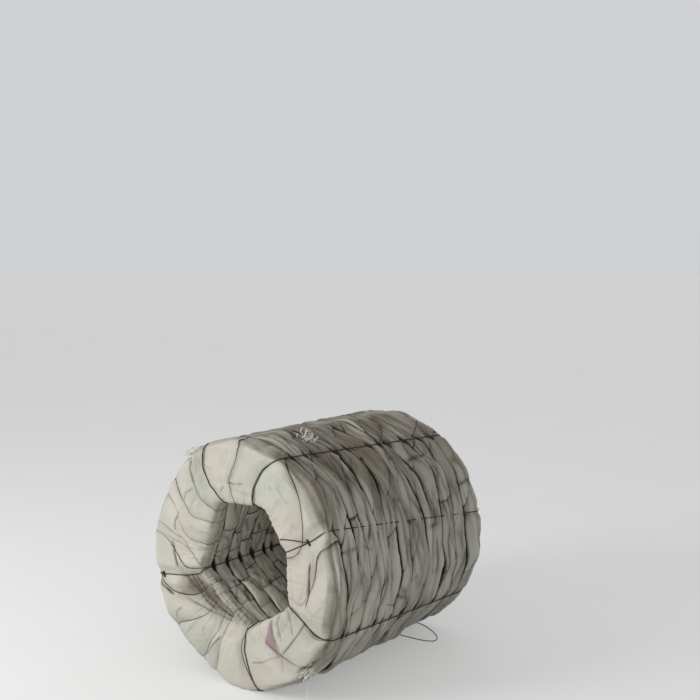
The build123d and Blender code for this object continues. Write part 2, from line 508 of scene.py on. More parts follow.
def lap_route(number):
    """The lap edge's angle as a smooth function of turn, which goes round with the coil."""
    marks, turns = lap_marks(number)
    marks = np.array(marks)
    count = len(marks)
    wide = np.concatenate([marks - [turns, 360], marks, marks + [turns, 360]])
    slope = np.gradient(wide[:, 1], wide[:, 0])

    def angle_at(turn):
        place = np.clip(np.searchsorted(wide[:, 0], turn, side="right") - 1, 0, 3 * count - 2)
        x0, x1 = wide[place, 0], wide[place + 1, 0]
        y0, y1 = wide[place, 1], wide[place + 1, 1]
        share = (turn - x0) / (x1 - x0)
        rise0, rise1 = slope[place] * (x1 - x0), slope[place + 1] * (x1 - x0)
        square, cube = share**2, share**3
        section = np.mod(turn, 1)
        free = smooth_step(0.02, 0.10, section) * smooth_step(0.98, 0.90, section)
        kinks = np.stack([np.mod(turn, turns) * 7, 0 * turn + 9.7 * number, 0 * turn + 0.5], -1)
        return (
            1.5 * free * noise(kinks, "lap kinks")
            + (2 * cube - 3 * square + 1) * y0
            + (cube - 2 * square + share) * rise0
            + (3 * square - 2 * cube) * y1
            + (cube - square) * rise1
        )

    return angle_at, turns


def boundary_wander(number, angle, radius, sizes):
    """How far the line between two coils strays along Y from its plane."""
    if number in (0, last_coil):
        return np.zeros_like(radius)
    here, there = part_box(wrap_names[number - 1]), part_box(wrap_names[number])
    thinner = min(here[1].y - here[0].y, there[1].y - there[0].y)
    reach = min(sizes.wander, 0.26 * thinner) * (1 + 0.5 * smooth_step(0.26, 0.21, radius))
    turned = np.radians(angle)
    place = round_place(turned, 3.1 * (radius / coil_radius), 1.7 * number)
    shared = round_place(turned, 1.6, 0.35 * number)
    free = 1.3 * reach * noise(place, "stray") + 0.006 * noise(shared, "shared stray")
    signed = signed_angle(angle)
    drawn = np.interp(signed, stray_angles, strays[number - 1]) / 1000
    seen = smooth_step(-45, -28, signed) * smooth_step(105, 80, signed)
    seen = seen * smooth_step(0.31, 0.355, radius)
    return free * (1 - seen) + drawn * seen + 0.0015 * noise(place * 4, "fine stray")


def seat_angle(route, along):
    """The angle of a tie on the outside, where it is pulled straight from rim to rim."""
    share = along / (2 * half_length) + 0.5
    front, back = radians(route.front), radians(route.back)
    x = cos(front) * (1 - share) + cos(back) * share
    z = sin(front) * (1 - share) + sin(back) * share
    return np.degrees(np.arctan2(z, x)) % 360


def tie_marks(route, number):
    """The route of a tie over one coil's section: marks of section and angle."""
    low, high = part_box(wrap_names[number - 1])
    outside = seat_angle(route, (low.y + high.y) / 2)
    marks = [(0.0, route.bore), (0.05, route.bore)]
    if number == 1:
        marks += list(zip(face_marks, route.face))
    marks += [(0.47, outside), (0.53, outside), (0.94, route.bore), (1.0, route.bore)]
    return np.array(marks)


def tie_limit(number, angle, step, radius):
    """How far the strip may stand out of its coil near a tie wire, which pulls it in, and how
    far away the nearest tie is."""
    limit, nearest = np.full(angle.shape, 1.0), np.full(angle.shape, 1.0)
    for name, route in tie_routes.items():
        marks = tie_marks(route, number)
        wanted = np.interp(step, marks[:, 0], marks[:, 1])
        away = np.abs(np.radians(signed_angle(angle - wanted)) * radius)
        here = -tie_bite + tie_curve * away**2 + tie_slope * away
        if name == "tie_wire_right" and 1 < number < last_coil:
            outside = smooth_step(0.35, 0.42, step) * smooth_step(0.65, 0.58, step)
            here = here + buried[(number * 5) % len(buried)] * outside
        limit, nearest = np.minimum(limit, here), np.minimum(nearest, away)
    return limit, nearest


def fold_lines(x, y, lines, width, period=(10.0, 10.0)):
    """How near each place is to a set of fold lines: their depth on a line, then fading."""
    total = np.zeros(x.shape)
    half = np.array(period) / 2
    for depth, corners in lines:
        nearest = np.full(x.shape, 1.0)
        reached = np.zeros(x.shape)
        pieces = len(corners) - 1
        for index, ((x0, y0), (x1, y1)) in enumerate(zip(corners, corners[1:])):
            away_x = np.mod(x - x0 + half[0], period[0]) - half[0]
            away_y = np.mod(y - y0 + half[1], period[1]) - half[1]
            step_x, step_y = x1 - x0, y1 - y0
            length = step_x**2 + step_y**2
            share = np.clip((away_x * step_x + away_y * step_y) / length, 0, 1)
            off = np.hypot(away_x - share * step_x, away_y - share * step_y)
            reached = np.where(off < nearest, (index + share) / pieces, reached)
            nearest = np.minimum(nearest, off)
        taper = np.clip(6 * np.minimum(reached, 1 - reached) + 0.25, 0, 1)
        spread = width * (0.5 + 0.5 * taper)
        total = np.maximum(total, depth * taper * np.exp(-((nearest / spread) ** 2)))
    return total


def inside_patch(x, y, corners, edge):
    """1 inside a convex patch and 0 outside, over a soft edge."""
    middle_x = sum(c[0] for c in corners) / len(corners)
    middle_y = sum(c[1] for c in corners) / len(corners)
    depth = np.full(x.shape, 1.0)
    for (x0, y0), (x1, y1) in zip(corners, corners[1:] + corners[:1]):
        across_x, across_y = y0 - y1, x1 - x0
        size = np.hypot(across_x, across_y)
        side = np.sign((middle_x - x0) * across_x + (middle_y - y0) * across_y) / size
        depth = np.minimum(depth, ((x - x0) * across_x + (y - y0) * across_y) * side)
    return smooth_step(-edge, edge, depth)


def chance_folds(number):
    """Short folds over a coil's rim, its bore and an open face: places in metres of arc, at
    fold_arc from the axis, and of the section."""
    chance = np.random.default_rng(fold_seed + number)
    zones = [rim_folds, bore_folds]
    if number == 1:
        zones.append(front_folds)
    if number == last_coil:
        zones.append(back_folds)
    lines = []
    for count, low, high, least, most, *reach in zones:
        for _ in range(count):
            arc = chance.uniform(0, 2 * pi * fold_arc)
            along = chance.uniform(low, high) * section_length
            lean = radians(chance.uniform(least, most) * chance.choice((-1, 1)))
            half = chance.uniform(*reach)
            step_x, step_y = half * sin(lean), half * cos(lean)
            depth = chance.uniform(0.15, 0.9)
            bend = chance.uniform(-0.15, 0.15) * half
            lines.append((depth, [
                (arc - step_x, along - step_y),
                (arc + bend * cos(lean), along + bend * sin(lean)),
                (arc + step_x, along + step_y),
            ]))
    return lines


def in_metres(corners):
    return [(x / 1000, y / 1000) for x, y in corners]


drawn_face = [(depth, in_metres(corners)) for depth, corners in face_folds]
drawn_side = [
    (depth, [(along / 1000, radians(angle) * coil_radius) for along, angle in corners])
    for depth, corners in side_folds
]
stained = in_metres(stained_patch)
mauve_corners = in_metres(mauve_patch)


def strip_steps(number):
    """Steps along the section, close together where the coil shows."""
    front_fine = 150 if number == 1 else 12
    back_fine = 120 if number == last_coil else 12
    stretches = [
        np.linspace(0, 0.075, 8),
        np.linspace(0.075, 0.40, round(front_fine * 0.325) + 1),
        np.linspace(0.40, 0.60, 26),
        np.linspace(0.60, 0.925, round(back_fine * 0.325) + 1),
        np.linspace(0.925, 1.0, 8),
    ]
    return np.unique(np.concatenate(stretches).round(5))


def grid_faces(rows, columns):
    corner = np.arange((rows - 1) * (columns - 1))
    start = corner // (columns - 1) * columns + corner % (columns - 1)
    return np.stack([start, start + 1, start + columns + 1, start + columns], -1)


def lay_coil(number):
    """What the turns of one coil's strip share: the surface below them, their laps, steps and
    short folds, and how much dustier than the others the coil is."""
    radius, along = surfaces[number]
    normal_r, normal_y = outward(radius, along)
    lap_at, turns = lap_route(number)
    shown = np.linspace(0.03, 0.95, 38 if number == 1 else 44)
    return SimpleNamespace(
        number=number, first=number == 1, at_end=number in (1, last_coil),
        radius=radius, along=along, normal_r=normal_r, normal_y=normal_y,
        lap_at=lap_at, turns=turns, steps=strip_steps(number), short_folds=chance_folds(number),
        shown_places=np.concatenate([[0, 0.012], shown, [0.972, 0.99, 1.0]]),
        dustier=np.random.default_rng(dust_seed + number).uniform(-0.22, 0.22),
    )


def lay_turn(coil, turn, sizes):
    """Where one turn of a strip lies on its coil, and what part of the coil is there. Rows go
    along the section and columns across the strip, the part that shows first."""
    start = turn + coil.steps
    edge = coil.lap_at(start)[:, None]
    nearby = sample(coil.radius, edge[:, 0], coil.steps)[:, None]
    width = sizes.strip_width
    shown = (coil.lap_at(start + 1)[:, None] - edge) * np.radians(1) * nearby / width
    shown = np.clip(shown, 0.03, 0.98)
    across = np.concatenate([shown * coil.shown_places, shown + (1 - shown) * hidden_places], 1)
    tight = most_gathered * smooth_step(0.30, 0.20, nearby)
    gathered = np.minimum(across, shown) + np.maximum(across - shown, 0) * (1 - tight)
    angle = edge + np.degrees(gathered * width / nearby)
    step = np.repeat(coil.steps[:, None], angle.shape[1], 1)
    turned = np.radians(angle)
    radius, along = sample(coil.radius, angle, step), sample(coil.along, angle, step)
    x, z = np.cos(turned) * radius, np.sin(turned) * radius
    out_y = sample(coil.normal_y, angle, step)
    outwards = -out_y if coil.first else out_y
    beside = 1.0 - (outwards > 0) * coil.at_end
    bore = smooth_step(0.30, 0.19, radius)
    pleat_place = round_place(turned, 2.2 - 1.4 * bore, along * 34)
    limit, near_tie = tie_limit(coil.number, angle, step, radius)
    at = SimpleNamespace(
        start=start, across=across, share=across / shown, angle=angle, signed=signed_angle(angle),
        turned=turned, step=step, radius=radius, along=along, x=x, z=z,
        place=np.stack([x, along, z], -1), out_r=sample(coil.normal_r, angle, step), out_y=out_y,
        outwards=outwards, open_face=smooth_step(0.72, 0.92, outwards) * coil.at_end,
        beside=beside, inner=smooth_step(0.2, 0.7, np.abs(out_y)) * beside,
        bore=bore, rim=smooth_step(0.33, 0.372, radius), limit=limit, near_tie=near_tie,
        pleat_place=pleat_place, pleats=valleys(pleat_place, "pleats"),
    )
    facing = smooth_step(-40, -22, at.signed) * smooth_step(64, 46, at.signed)
    at.sloped = facing * coil.first * smooth_step(0.0, 0.4, outwards) * clear_of_tie(at, 0.035)
    at.hollow = inside_patch(x, z, stained, 0.030) * smooth_step(0.3, 0.8, outwards) * coil.first
    return at


def clear_of_tie(at, reach):
    """0 at a tie wire, growing to 1 further away."""
    return 1 - np.exp(-((at.near_tie / reach) ** 2))


def side_lines(at, along, bend, width):
    """The folds drawn on the coils' outside, for points at some place along Y."""
    period = (10.0, 2 * pi * coil_radius)
    lines = fold_lines(along, at.turned * coil_radius + bend, drawn_side, width, period)
    return lines * (at.rim * (1 - at.open_face))


def fold_marks(coil, at):
    """The folds near each point: creases, the bulges along them, the creases that are drawn
    on the front face, how the drawn lines bend and how strongly creases show."""
    bend_x = fold_wander * noise(at.place * 14, "bend x")
    bend_y = fold_wander * noise(at.place * 14, "bend y")
    scattered = (at.turned * fold_arc + bend_x, at.step * section_length + bend_y)
    period = (2 * pi * fold_arc, section_length)
    creases = fold_lines(*scattered, coil.short_folds, crease_width, period)
    bulges = fold_lines(*scattered, coil.short_folds, bulge_width, period)
    on_face = np.zeros(creases.shape)
    if coil.first:
        face = (at.x + bend_x, at.z + bend_y)
        on_face = fold_lines(*face, drawn_face, face_crease_width)
        on_face = on_face * smooth_step(0.35, 0.7, at.outwards)
        creases = np.maximum(0.6 * creases, on_face)
        face_bulges = fold_lines(*face, drawn_face, face_bulge_width) * at.open_face
        bulges = np.maximum(bulges, face_bulges)
    return SimpleNamespace(
        creases=np.maximum(creases, side_lines(at, at.along, bend_x, crease_width)),
        bulges=np.maximum(bulges, side_lines(at, at.along, bend_x, bulge_width)),
        on_face=on_face, bend=bend_x,
        strength=np.clip(0.85 + 0.7 * noise(at.place * 18, "fold strength"), 0.4, 1),
    )


def strip_height(coil, at, marks, sizes):
    """How far the strip stands off its coil's surface."""
    full = 4 * np.clip(at.share, 0, 1) * (1 - np.clip(at.share, 0, 1))
    swell = sizes.puff * full * (0.7 + 0.7 * noise(at.place * 6, "puff")) * (1 - 0.7 * at.bore)
    swell = swell * (1 - 0.8 * at.inner) * (1 + 1.3 * at.open_face)
    swell += face_dents * noise(at.place * 9, "face dents") * at.open_face
    across_bore = round_place(at.turned, 11, at.step * 4 + 7 * coil.number)
    wrinkles = smooth_step(0, 0.4, valleys(across_bore, "wrinkles")) - 0.75
    wrinkles = sizes.wrinkle * wrinkles * (0.3 + 0.7 * at.bore)
    wrinkles = wrinkles * (1 - 0.7 * at.bore * (not coil.first))
    pleats = pleat_depth * (smooth_step(0, 0.45, at.pleats) - 0.75)
    pleats = pleats * np.maximum(at.rim, at.bore) * (1 - at.inner)
    height = swell + wrinkles + pleats + grain_depth * noise(at.place * 60, "grain")
    height += fold_rise * marks.bulges - fold_cut * marks.creases
    height += sizes.lap_height * (1 - at.across) - strip_sink
    flat = np.abs(at.out_y)
    shoulder = np.clip(1 - np.abs(flat - 0.65) / 0.35, 0, 1) * smooth_step(0.2, 0.5, flat)
    height += shoulder_rise * shoulder * (0.35 + 0.65 * at.beside)
    groove = smooth_step(0.335, 0.355, at.radius)
    groove = np.maximum(groove, smooth_step(0.225, 0.205, at.radius))
    height -= (side_sink + groove_depth * groove) * smooth_step(0.78, 0.97, flat) * at.beside
    height -= rim_slope * at.sloped * smooth_step(0.338, 0.372, at.radius)
    height -= hollow_depth * at.hollow
    hidden = (hidden_sink + hidden_sink_in_bore * at.bore) * (at.share > 1.001)
    return soft_minimum(height, at.limit, 0.0015) - hidden


def unevenness(coil, at):
    """How far a coil bulges out of its round shape, away from the ties."""
    drift = round_place(at.turned, 2.2, 3.3 * coil.number)
    inside = uneven_bore * noise(drift * (1.6, 1.6, 1.9), "uneven bore") * at.bore
    inside = inside * (not coil.first) * clear_of_tie(at, 0.045)
    return inside + uneven_rim * noise(drift, "uneven rim") * at.rim * clear_of_tie(at, 0.05)


def boundary_shift(coil, at, sizes):
    """How far the strip moves along Y with the lines between its coil and the next ones."""
    low, high = (read_round(values, at.angle) for values in (coil.along.min(1), coil.along.max(1)))
    backness = np.clip((at.along - low) / (high - low), 0, 1)
    front = boundary_wander(coil.number - 1, at.angle, at.radius, sizes)
    back = boundary_wander(coil.number, at.angle, at.radius, sizes)
    return (1 - backness) * front + backness * back


def crease_shade_and_dirt(coil, at, marks):
    """How dark each point is painted: painted shade under laps, in folds and pleats, between the
    coils and down the sides of each coil's crown, with some soiling along the lap edges and in the
    folds.
    """
    below_top = read_round(coil.radius.max(1), at.angle) - at.laid
    above_bore = at.laid - read_round(coil.radius.min(1), at.angle)
    # Painted shade in the gaps between the coils.
    gap = np.minimum(smooth_step(0.001, 0.008, below_top), smooth_step(0.001, 0.008, above_bore))
    # Painted shade in the pleat valleys.
    pleats = (1 - smooth_step(0, 0.10, at.pleats)) * (1 - at.open_face)
    pleats = pleats * (at.rim + 0.8 * at.bore * (not coil.first))
    plain = marks.creases * (0.75 * (1 - at.open_face) + 0.26 * at.open_face)
    on_side = side_lines(at, at.laid_along, marks.bend, crease_width)
    # Painted shade, with some soiling, in the folds.
    folded = np.maximum(np.maximum(1.35 * marks.on_face, plain), on_side)
    # Painted shade, partly soiling, just under each lap's edge.
    under = smooth_step(0.95, 0.99, at.share) * (0.68 + 0.9 * noise(at.place * 7, "lap dirt"))
    dark = np.clip(under, 0, 1) + 0.26 * pleats + gap * at.inner + 0.95 * marks.strength * folded
    # Painted shade in a soft band beside each lap edge.
    halo = smooth_step(0.70, 0.97, at.share) + 0.5 * smooth_step(0.08, 0.0, at.share)
    dark += 0.24 * halo * np.clip(0.6 + noise(at.place * 12, "halo"), 0, 1)
    # Painted shade along the fold bulges.
    dark += 0.20 * marks.bulges * (1 - 0.7 * at.open_face)
    # Painted shade down the sides of each coil's crown, towards the gaps and the bore.
    sunk = smooth_step(0.002, 0.018, below_top) * smooth_step(0.31, 0.34, at.laid)
    sunk += smooth_step(0.002, 0.018, above_bore) * smooth_step(0.27, 0.23, at.laid)
    dark += 0.48 * sunk * at.beside * (1 - 0.3 * at.bore)
    return np.clip(dark, 0, 1)


def dust_and_shade_cover(coil, at, marks):
    """How much grey-brown is mixed into each point's colour, partly dust and partly painted shade:
    little on a face, more on the sides and on top, darker in pleat valleys and lighter on their
    crowns, and lighter in the bore as painted light.
    """
    clean = smooth_step(0.70, 0.90, at.outwards) * coil.at_end
    clean = clean * (1 - at.sloped * smooth_step(0.338, 0.345, at.laid))
    if coil.first:
        rim = smooth_step(62, 75, at.signed) + smooth_step(-150, -165, at.signed)
        rim = 0.75 * np.clip(rim, 0, 1) * smooth_step(-0.35, 0.1, at.outwards)
        clean = np.maximum(clean, rim)
    # The top is darker and browner: partly dust, partly painted shade.
    top = smooth_step(0.3, 0.95, np.sin(at.turned)) * (1 - clean) * at.rim
    side = smooth_step(0.30, 0.355, at.laid) * (1 - clean)
    in_bore = smooth_step(0.24, 0.21, at.laid) * (1 - clean)
    # The sides are darker than the faces, partly dust and partly painted shade; the bore is made
    # lighter as painted light.
    dust_and_shade = 0.12 + (0.48 + coil.dustier) * side + 0.64 * top - 0.12 * in_bore
    dust_and_shade += at.hollow * (1.2 + 0.8 * noise(at.place * 16, "stain"))
    dust_and_shade += 0.22 * noise(at.place * 5, "dust_and_shade") * (0.6 + side)
    # Painted shade, partly dust, along the fold bulges.
    dust_and_shade += 0.12 * marks.bulges * (1 - at.open_face)
    dust_and_shade += 0.50 * noise(at.pleat_place * 0.8, "dusty pleats") * side
    # Painted shade in the pleat valleys and painted highlight on the pleat crowns.
    dust_and_shade += 0.45 * (0.55 - smooth_step(0, 0.6, at.pleats)) * (side + 0.6 * in_bore)
    return np.clip(dust_and_shade, 0, 1.6)


def wound_strip(number, sizes):
    """The mesh of one coil's strip: points, faces, UVs in metres and its surface values, and
    how many turns it has."""
    coil = lay_coil(number)
    tones = np.random.default_rng(tone_seed + number)
    points, faces, uvs = [], [], []
    values = {"crease": [], "dust_and_shade_amount": [], "mauve": [], "tone": []}
    offset = 0
    for turn in range(coil.turns):
        at = lay_turn(coil, turn, sizes)
        marks = fold_marks(coil, at)
        height = strip_height(coil, at, marks, sizes)
        at.laid = at.radius + at.out_r * height + unevenness(coil, at)
        at.laid_along = at.along + at.out_y * height + boundary_shift(coil, at, sizes)
        x, z = np.cos(at.turned) * at.laid, np.sin(at.turned) * at.laid + axis_height
        place = np.stack([x, at.laid_along, np.maximum(z, floor_gap)], -1)
        points.append(place.reshape(-1, 3))
        faces.append(grid_faces(*at.angle.shape) + offset)
        offset += at.angle.size
        run = at.start[:, None] * turn_length + 0 * at.across
        uvs.append(np.stack([run, at.across * sizes.strip_width], -1).reshape(-1, 2))
        values["crease"].append(crease_shade_and_dirt(coil, at, marks))
        values["dust_and_shade_amount"].append(dust_and_shade_cover(coil, at, marks))
        mauve = inside_patch(at.x, at.z, mauve_corners, 0.003) * at.open_face * coil.first
        values["mauve"].append(mauve)
        values["tone"].append(np.full(at.angle.shape, tones.uniform(0, 1)))
    values = {key: np.concatenate([v.ravel() for v in parts]) for key, parts in values.items()}
    return np.concatenate(points), np.concatenate(faces), np.concatenate(uvs), values, coil.turns


def add_object(name, data):
    made = bpy.data.objects.new(name, data)
    bpy.context.scene.collection.objects.link(made)
    return made


def mesh_object(name, points, faces, uvs, values):
    """A mesh object from arrays, with smooth faces, a UV map and one attribute a value."""
    mesh = bpy.data.meshes.new(name)
    mesh.vertices.add(len(points))
    mesh.vertices.foreach_set("co", points.astype(np.float32).ravel())
    mesh.loops.add(faces.size)
    mesh.loops.foreach_set("vertex_index", faces.astype(np.int32).ravel())
    mesh.polygons.add(len(faces))
    mesh.polygons.foreach_set("loop_start", np.arange(0, faces.size, 4, dtype=np.int32))
    mesh.update(calc_edges=True)
    mesh.shade_smooth()
    layer = mesh.uv_layers.new(name="strip")
    layer.data.foreach_set("uv", uvs[faces.ravel()].astype(np.float32).ravel())
    for key, numbers in values.items():
        attribute = mesh.attributes.new(key, "FLOAT", "POINT")
        attribute.data.foreach_set("value", numbers.astype(np.float32))
    return add_object(name, mesh)


def new_material(name):
    """A material with its node tree, its shader and the object's coordinates."""
    material = bpy.data.materials.new(name)
    material.use_nodes = True
    tree = material.node_tree
    tree.nodes.clear()
    output = tree.nodes.new("ShaderNodeOutputMaterial")
    shader = tree.nodes.new("ShaderNodeBsdfPrincipled")
    tree.links.new(shader.outputs["BSDF"], output.inputs["Surface"])
    place = add_node(tree, "ShaderNodeTexCoord").outputs["Object"]
    return material, tree, shader, place


def plug(tree, node, inputs):
    """Sets inputs of a node, each to a value or to the socket that feeds it."""
    for key, value in inputs.items():
        if isinstance(value, bpy.types.NodeSocket):
            tree.links.new(value, node.inputs[key])
        else:
            node.inputs[key].default_value = value


def add_node(tree, kind, inputs=None, **settings):
    """A shader node with its settings and inputs."""
    made = tree.nodes.new(kind)
    for key, value in settings.items():
        setattr(made, key, value)
    plug(tree, made, inputs or {})
    return made


def math_node(tree, operation, *values, clamp=False):
    inputs = dict(enumerate(values))
    made = add_node(tree, "ShaderNodeMath", inputs, operation=operation, use_clamp=clamp)
    return made.outputs[0]


def noise_node(tree, place, scale, detail, distortion=0.0):
    inputs = {"Vector": place, "Scale": scale, "Detail": detail, "Distortion": distortion}
    return add_node(tree, "ShaderNodeTexNoise", inputs).outputs["Fac"]


def attribute_node(tree, name):
    return add_node(tree, "ShaderNodeAttribute", attribute_name=name).outputs["Fac"]


def bump_node(tree, strength, distance, height, normal=None):
    inputs = {"Strength": strength, "Distance": distance, "Height": height}
    if normal is not None:
        inputs["Normal"] = normal
    return add_node(tree, "ShaderNodeBump", inputs).outputs["Normal"]


def ramp_node(tree, value, first, last, between=()):
    """A colour ramp; each of its stops is a place and a colour."""
    made = add_node(tree, "ShaderNodeValToRGB", {"Fac": value})
    elements = made.color_ramp.elements
    for element, (place, shade) in zip(elements, (first, last)):
        element.position, element.color = place, shade
    for place, shade in between:
        elements.new(place).color = shade
    return made.outputs["Color"]


def mix_colours(tree, factor, first, second):
    """A mix of two colours. Its colour sockets have no names of their own, only numbers."""
    inputs = {0: factor, 6: first, 7: second}
    return add_node(tree, "ShaderNodeMix", inputs, data_type="RGBA").outputs[2]


def colour(values):
    return (*values, 1.0)


def strip_material(colours):
    """Dusty woven strip: off-white, with grey-brown dust and painted shade mixed in, brown where
    both lie thickest, nearly black with painted shade and some soiling in its creases, and a fine
    weave.
    """
    material, tree, shader, place = new_material("woven strip")
    dust_and_shade_amount, tone = attribute_node(tree, "dust_and_shade_amount"), attribute_node(tree, "tone")
    patches = noise_node(tree, place, 5.5, 4.0)
    tint = math_node(tree, "ADD", patches, math_node(tree, "MULTIPLY_ADD", tone, 0.09, -0.045))
    base = ramp_node(
        tree, tint, (0.36, cool_strip), (0.66, warm_strip), [(0.5, colour(colours.strip))],
    )
    specks = math_node(tree, "MULTIPLY", noise_node(tree, place, 70.0, 5.0), 0.55)
    # The grey-brown mix is partly dust and partly painted shade.
    dirt_and_shade = math_node(tree, "ADD", math_node(tree, "MULTIPLY", specks, dust_and_shade_amount), dust_and_shade_amount)
    shade = math_node(tree, "MULTIPLY_ADD", tone, -0.35, 0.70)
    dirt_and_shade = math_node(tree, "MULTIPLY", dirt_and_shade, shade, clamp=True)
    base = mix_colours(tree, dirt_and_shade, base, colour(colours.dust_and_shade))
    base = mix_colours(tree, attribute_node(tree, "mauve"), base, mauve_tape)
    # Brown where the mix is thickest, on the top: partly thick dust, partly painted shade.
    thick = math_node(tree, "SUBTRACT", dust_and_shade_amount, 1.0, clamp=True)
    base = mix_colours(tree, thick, base, colour(colours.brown))
    # Painted shade, with some soiling, in creases, under laps and between coils.
    base = mix_colours(tree, attribute_node(tree, "crease"), base, colour(colours.crease_shade_and_soil))
    uv = add_node(tree, "ShaderNodeUVMap", uv_map="strip").outputs["UV"]
    stretched = add_node(tree, "ShaderNodeMapping", {"Vector": uv, "Scale": (14.0, 75.0, 1.0)})
    pulled = noise_node(tree, stretched.outputs["Vector"], 1.0, 4.0, 0.6)
    normal = bump_node(tree, 0.55, 0.005, pulled)
    normal = bump_node(tree, 0.45, 0.0014, noise_node(tree, place, 110.0, 4.0), normal)
    normal = bump_node(tree, 0.35, 0.0003, weave_height(tree, uv), normal)
    plug(tree, shader, {
        "Base Color": base, "Roughness": 0.62, "Sheen Weight": 0.12, "Sheen Roughness": 0.5,
        "Normal": normal,
    })
    return material


def weave_height(tree, uv):
    """Crossing tapes of the strip's weave, from its UV map in metres."""
    split = add_node(tree, "ShaderNodeSeparateXYZ", {"Vector": uv})
    waves = []
    for axis in ("X", "Y"):
        turned = math_node(tree, "MULTIPLY", split.outputs[axis], 2 * pi / weave_pitch)
        waves.append(math_node(tree, "SINE", turned))
    return math_node(tree, "MULTIPLY", *waves)


def tape_material():
    """Clean white tape of the strip's frayed ends."""
    material, tree, shader, place = new_material("frayed tape")
    base = mix_colours(tree, noise_node(tree, place, 60.0, 2.0), clean_tape, dull_tape)
    plug(tree, shader, {"Base Color": base, "Roughness": 0.5})
    return material


def wire_material(name, base_colour, roughness):
    """Drawn iron or zinc-coated wire, slightly scaly, darker and lighter along its run."""
    material, tree, shader, place = new_material(name)
    scale = noise_node(tree, place, 160.0, 4.0)
    dark = colour([0.6 * c for c in base_colour])
    light = colour([min(1, 1.5 * c) for c in base_colour])
    base = ramp_node(tree, scale, (0.35, dark), (0.7, light))
    normal = bump_node(tree, 0.3, 0.0004, scale)
    inputs = {"Base Color": base, "Metallic": 0.8, "Roughness": roughness, "Normal": normal}
    plug(tree, shader, inputs)
    return material


def wire_curve(name, runs, material):
    """One wire piece from runs of points, each a smooth round wire, joined as one mesh."""
    curve = bpy.data.curves.new(name, "CURVE")
    curve.dimensions = "3D"
    curve.bevel_depth = wire_radius
    curve.bevel_resolution = 2
    curve.resolution_u = 3
    curve.use_fill_caps = True
    for run in runs:
        spline = curve.splines.new("NURBS")
        spline.points.add(len(run) - 1)
        for point, place in zip(spline.points, run):
            point.co = (*place, 1)
        spline.order_u = 3
        spline.use_endpoint_u = True
    made = add_object(name, curve)
    bpy.ops.object.select_all(action="DESELECT")
    made.select_set(True)
    bpy.context.view_layer.objects.active = made
    bpy.ops.object.convert(target="MESH")
    made = bpy.context.view_layer.objects.active
    made.data.materials.clear()
    made.data.materials.append(material)
    bpy.ops.object.shade_smooth()
    made.select_set(False)
    return made


def packed_coil(number, material):
    """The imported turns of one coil: a ridged profile, spun round the coils' axis."""
    low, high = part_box(wrap_names[number - 1])
    middle, half = (low.y + high.y) / 2, (high.y - low.y) / 2
    inner, outer = core_radii
    half_along = max(half - core_inset, 0.006)
    bpy.ops.object.select_all(action="DESELECT")
    bpy.ops.mesh.primitive_circle_add(vertices=core_corners, radius=1)
    made = bpy.context.object
    made.name = f"packed_coil_{number:02d}"
    for vertex in made.data.vertices:
        turn = np.arctan2(vertex.co.y, vertex.co.x)
        square = max(abs(cos(turn)), abs(sin(turn))) ** 0.8
        ridge = 1 + 0.02 * cos(turn * core_corners / 3)
        vertex.co = (
            (inner + outer) / 2 + (outer - inner) / 2 * cos(turn) / square * ridge,
            middle + half_along * sin(turn) / square,
            axis_height,
        )
    bpy.ops.object.mode_set(mode="EDIT")
    bpy.ops.mesh.select_all(action="SELECT")
    bpy.ops.mesh.spin(
        steps=core_steps, angle=2 * pi, center=(0, 0, axis_height), axis=(0, 1, 0),
    )
    bpy.ops.mesh.select_all(action="SELECT")
    bpy.ops.mesh.remove_doubles(threshold=0.0002)
    bpy.ops.mesh.normals_make_consistent(inside=False)
    bpy.ops.object.mode_set(mode="OBJECT")
    made.data.shade_smooth()
    made.data.materials.append(material)
    made.select_set(False)
    return made


def frayed_tapes():
    """Loose tapes at the frayed ends of the strip, as points and faces of thin ribbons."""
    chance = np.random.default_rng(fray_seed)
    points, faces = [], []
    for angle, radius, along, count, reach, spread in frays:
        root = polar(angle, radius, along)
        out = (polar(angle, 1, 0) - polar(angle, 0, 0)).normalized()
        for _ in range(count):
            start = root + Vector(chance.normal(0, spread, 3))
            way = Vector(chance.normal(0, 1, 3)).normalized()
            way = (way + out * (0.35 - 0.7 * way.dot(out))).normalized()
            curl = Vector(chance.normal(0, 1, 3)) - out * 0.5
            length = reach * chance.uniform(0.5, 1.0)
            path = [start]
            for _ in range(tape_steps):
                way = (way + curl * 0.13 + Vector(chance.normal(0, 0.12, 3))).normalized()
                path.append(path[-1] + way * length / tape_steps)
            ribbon(path, points, faces)
    top, foot = polar(*hanging_tape), Vector(hanging_tape_foot)
    path = []
    for step in range(hanging_steps + 1):
        share = step / hanging_steps
        sway = Vector((0.003 * sin(5 * share), 0.002 * sin(7 * share), 0))
        path.append(top.lerp(foot, share) + sway)
    ribbon(path, points, faces)
    return np.array(points), np.array(faces)


def ribbon(path, points, faces):
    """Adds one thin flat tape along a path."""
    first = len(points)
    for here, there in zip(path, path[1:] + [path[-1] * 2 - path[-2]]):
        way = (there - here).normalized()
        side = way.cross(Vector((0.36, 0.48, 0.8))).normalized() * tape_width / 2
        points.extend([here - side, here + side])
    for step in range(len(path) - 1):
        a = first + 2 * step
        faces.append((a, a + 1, a + 3, a + 2))


def off_coil(number, angle, step, gap):
    """Points that stand off one coil's surface by gap, at places of angle and section."""
    radius_grid, along_grid = surfaces[number]
    normal_r, normal_y = outward(radius_grid, along_grid)
    radius = sample(radius_grid, angle, step) + sample(normal_r, angle, step) * gap
    along = sample(along_grid, angle, step) + sample(normal_y, angle, step) * gap
    return [polar(*place) for place in zip(angle, radius, along)]


